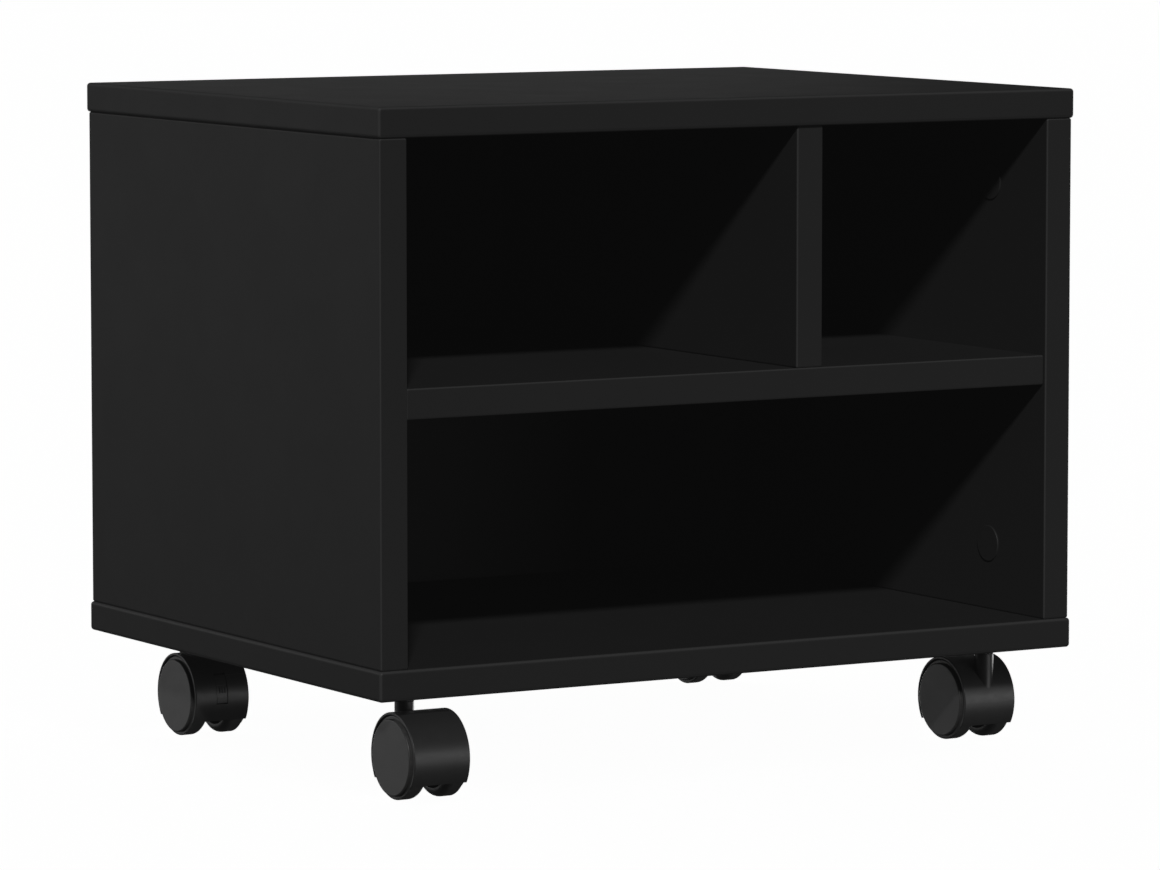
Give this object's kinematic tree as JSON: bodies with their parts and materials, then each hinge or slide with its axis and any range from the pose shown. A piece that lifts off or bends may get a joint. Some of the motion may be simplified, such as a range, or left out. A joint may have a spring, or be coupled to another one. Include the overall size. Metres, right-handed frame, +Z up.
{
  "type": "mobile printer stand",
  "caption": "Low black board cabinet for a printer: open front, one wide bay below and two unequal bays above, on swivelling twin-wheel casters.",
  "frame": {"origin": "on the floor, under the middle of the top panel's footprint", "axes": "+Z up, the open front faces -Y, +X to the right seen from the front"},
  "size_m": [0.4, 0.3195, 0.334],
  "materials": {
    "black_board": "matt black melamine on particle board",
    "cap_plastic": "moulded black",
    "hood_plastic": "satin moulded black",
    "wheel_plastic": "satin moulded dark grey",
    "steel": "bright zinc plate",
    "zinc_alloy": "die cast, dull",
    "beech": "bare fluted beech"
  },
  "bodies": {
    "cabinet": {"top_panel": "black_board", "bottom_panel": "black_board", "left_side_panel": "black_board", "right_side_panel": "black_board", "middle_shelf": "black_board", "divider_panel": "black_board", "back_panel": "black_board", "cam_locks": "zinc_alloy", "cam_bolts": "steel", "cam_cover_caps": "cap_plastic", "wooden_dowels": "beech", "divider_screws": "steel", "caster_inserts": "steel", "front_left_stem": "steel", "front_left_stem_ring": "steel", "front_right_stem": "steel", "front_right_stem_ring": "steel", "rear_left_stem": "steel", "rear_left_stem_ring": "steel", "rear_right_stem": "steel", "rear_right_stem_ring": "steel"},
    "front_left_caster": {"front_left_hood": "hood_plastic", "front_left_axle": "steel"},
    "front_left_left_wheel": {"front_left_left_wheel": "wheel_plastic"},
    "front_left_right_wheel": {"front_left_right_wheel": "wheel_plastic"},
    "front_right_caster": {"front_right_hood": "hood_plastic", "front_right_axle": "steel"},
    "front_right_left_wheel": {"front_right_left_wheel": "wheel_plastic"},
    "front_right_right_wheel": {"front_right_right_wheel": "wheel_plastic"},
    "rear_left_caster": {"rear_left_hood": "hood_plastic", "rear_left_axle": "steel", "rear_left_lock_pin": "steel"},
    "rear_left_left_wheel": {"rear_left_left_wheel": "wheel_plastic"},
    "rear_left_right_wheel": {"rear_left_right_wheel": "wheel_plastic"},
    "rear_left_lock": {"rear_left_lock_rocker": "hood_plastic"},
    "rear_right_caster": {"rear_right_hood": "hood_plastic", "rear_right_axle": "steel", "rear_right_lock_pin": "steel"},
    "rear_right_left_wheel": {"rear_right_left_wheel": "wheel_plastic"},
    "rear_right_right_wheel": {"rear_right_right_wheel": "wheel_plastic"},
    "rear_right_lock": {"rear_right_lock_rocker": "hood_plastic"}
  },
  "joints": [
    {"name": "front_left_swivel", "type": "hinge", "parent": "cabinet", "child": "front_left_caster", "pos_m": [-0.169, -0.1245, 0.0454], "axis": [0, 0, 1], "continuous": true},
    {"name": "front_left_left_spin", "type": "hinge", "parent": "front_left_caster", "child": "front_left_left_wheel", "pos_m": [-0.18005, -0.1405, 0.0205], "axis": [1, 0, 0], "continuous": true},
    {"name": "front_left_right_spin", "type": "hinge", "parent": "front_left_caster", "child": "front_left_right_wheel", "pos_m": [-0.15795, -0.1405, 0.0205], "axis": [1, 0, 0], "continuous": true},
    {"name": "front_right_swivel", "type": "hinge", "parent": "cabinet", "child": "front_right_caster", "pos_m": [0.169, -0.1245, 0.0454], "axis": [0, 0, 1], "continuous": true},
    {"name": "front_right_left_spin", "type": "hinge", "parent": "front_right_caster", "child": "front_right_left_wheel", "pos_m": [0.15795, -0.1085, 0.0205], "axis": [1, 0, 0], "continuous": true},
    {"name": "front_right_right_spin", "type": "hinge", "parent": "front_right_caster", "child": "front_right_right_wheel", "pos_m": [0.18005, -0.1085, 0.0205], "axis": [1, 0, 0], "continuous": true},
    {"name": "rear_left_swivel", "type": "hinge", "parent": "cabinet", "child": "rear_left_caster", "pos_m": [-0.1625, 0.118, 0.0454], "axis": [0, 0, 1], "continuous": true},
    {"name": "rear_left_left_spin", "type": "hinge", "parent": "rear_left_caster", "child": "rear_left_left_wheel", "pos_m": [-0.17355, 0.102, 0.0205], "axis": [1, 0, 0], "continuous": true},
    {"name": "rear_left_right_spin", "type": "hinge", "parent": "rear_left_caster", "child": "rear_left_right_wheel", "pos_m": [-0.15145, 0.102, 0.0205], "axis": [1, 0, 0], "continuous": true},
    {"name": "rear_left_lock", "type": "hinge", "parent": "rear_left_caster", "child": "rear_left_lock", "pos_m": [-0.1625, 0.08586, 0.02393], "axis": [-1, 0, 0], "range_deg": [0, 8]},
    {"name": "rear_right_swivel", "type": "hinge", "parent": "cabinet", "child": "rear_right_caster", "pos_m": [0.1625, 0.118, 0.0454], "axis": [0, 0, 1], "continuous": true},
    {"name": "rear_right_left_spin", "type": "hinge", "parent": "rear_right_caster", "child": "rear_right_left_wheel", "pos_m": [0.15145, 0.134, 0.0205], "axis": [1, 0, 0], "continuous": true},
    {"name": "rear_right_right_spin", "type": "hinge", "parent": "rear_right_caster", "child": "rear_right_right_wheel", "pos_m": [0.17355, 0.134, 0.0205], "axis": [1, 0, 0], "continuous": true},
    {"name": "rear_right_lock", "type": "hinge", "parent": "rear_right_caster", "child": "rear_right_lock", "pos_m": [0.1625, 0.15014, 0.02393], "axis": [1, 0, 0], "range_deg": [0, 8]}
  ]
}
